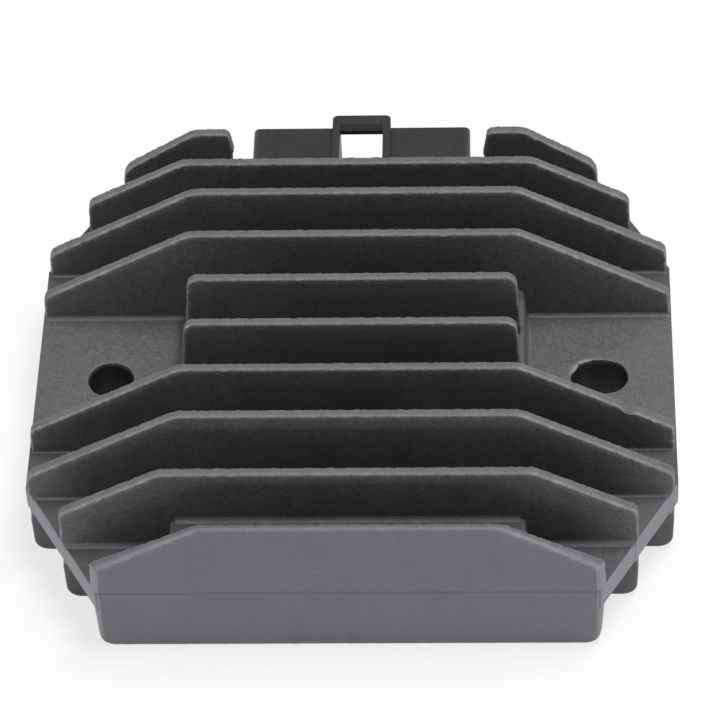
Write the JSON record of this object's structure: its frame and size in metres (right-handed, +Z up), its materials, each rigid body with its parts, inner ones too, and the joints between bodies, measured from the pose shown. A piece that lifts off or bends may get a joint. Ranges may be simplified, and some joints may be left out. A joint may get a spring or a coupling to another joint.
{
  "type": "voltage regulator rectifier",
  "caption": "Finned die-cast regulator rectifier with cut corners, two mounting ears, a resin-filled pocket below and a twin-socket plug connector with a latch loop.",
  "frame": {"origin": "midway between the two mounting holes, on the mounting plane under the casting", "axes": "+Z up from the mounting plane to the fin crests, +Y to the plug connector, +X to the slotted hole"},
  "size_m": [0.1044, 0.1046, 0.0316],
  "materials": {
    "casting": "dark grey, sand textured, worn along the crests",
    "connector_plastic": "dark grey moulded plastic",
    "blade_metal": "tinned",
    "pad_sheet": "soft silicone sheet",
    "device_plastic": "moulded",
    "board_laminate": "laminate",
    "chip_plastic": "moulded",
    "capacitor_can": "satin",
    "resistor_body": "ceramic",
    "resin": "cured potting resin, slightly glossy"
  },
  "bodies": {
    "root": {"heatsink": "casting", "connector_housing": "connector_plastic", "terminal_phase_1": "blade_metal", "terminal_phase_2": "blade_metal", "terminal_phase_3": "blade_metal", "terminal_battery": "blade_metal", "terminal_ground": "blade_metal", "terminal_sense": "blade_metal", "thermal_pad": "pad_sheet", "thyristor_1": "device_plastic", "thyristor_2": "device_plastic", "thyristor_3": "device_plastic", "diode_1": "device_plastic", "diode_2": "device_plastic", "diode_3": "device_plastic", "circuit_board": "board_laminate", "control_chip": "chip_plastic", "reference_diode": "chip_plastic", "filter_capacitor": "capacitor_can", "gate_resistors": "resistor_body", "potting_resin": "resin"}
  },
  "joints": []
}
